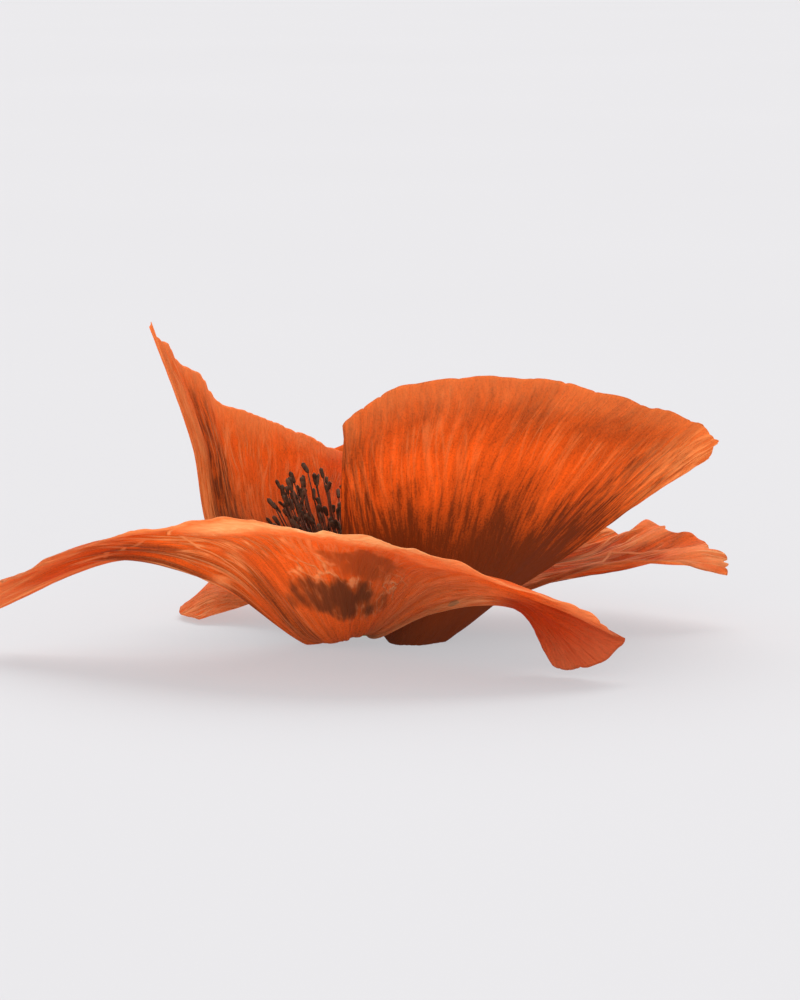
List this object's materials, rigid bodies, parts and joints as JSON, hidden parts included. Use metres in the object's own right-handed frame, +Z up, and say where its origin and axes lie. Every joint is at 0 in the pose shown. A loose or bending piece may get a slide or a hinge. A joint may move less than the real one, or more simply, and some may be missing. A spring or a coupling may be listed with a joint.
{
  "type": "oriental poppy flower",
  "caption": "Open oriental poppy bloom with large crinkled orange-red petals in two whorls round dark stamens and a rayed seed capsule.",
  "frame": {"origin": "centre of the bloom's own box, on the surface that it lies on", "axes": "+Z up out of the open bloom; -Y towards the side with the rising outer petal; +X towards the large bowl-shaped inner petal"},
  "size_m": [0.1508, 0.117, 0.0641],
  "materials": {
    "petal_outer": "thin silky petal, orange-red, finely veined and crinkled, lets light through",
    "petal_inner": "thin silky petal, orange-red with a dark base, lets light through",
    "stamen_violet": "violet-black filaments and powdery anthers",
    "stigma_velvet": "dark violet velvet on raised rays",
    "capsule_green": "smooth waxy pale green",
    "stalk_green": "matt green with short hairs"
  },
  "bodies": {
    "root": {"petal_front": "petal_outer", "petal_back": "petal_outer", "petal_left": "petal_inner", "petal_right": "petal_inner", "stamens": "stamen_violet", "stigma_disc": "stigma_velvet", "ovary": "capsule_green", "receptacle": "stalk_green"}
  },
  "joints": []
}
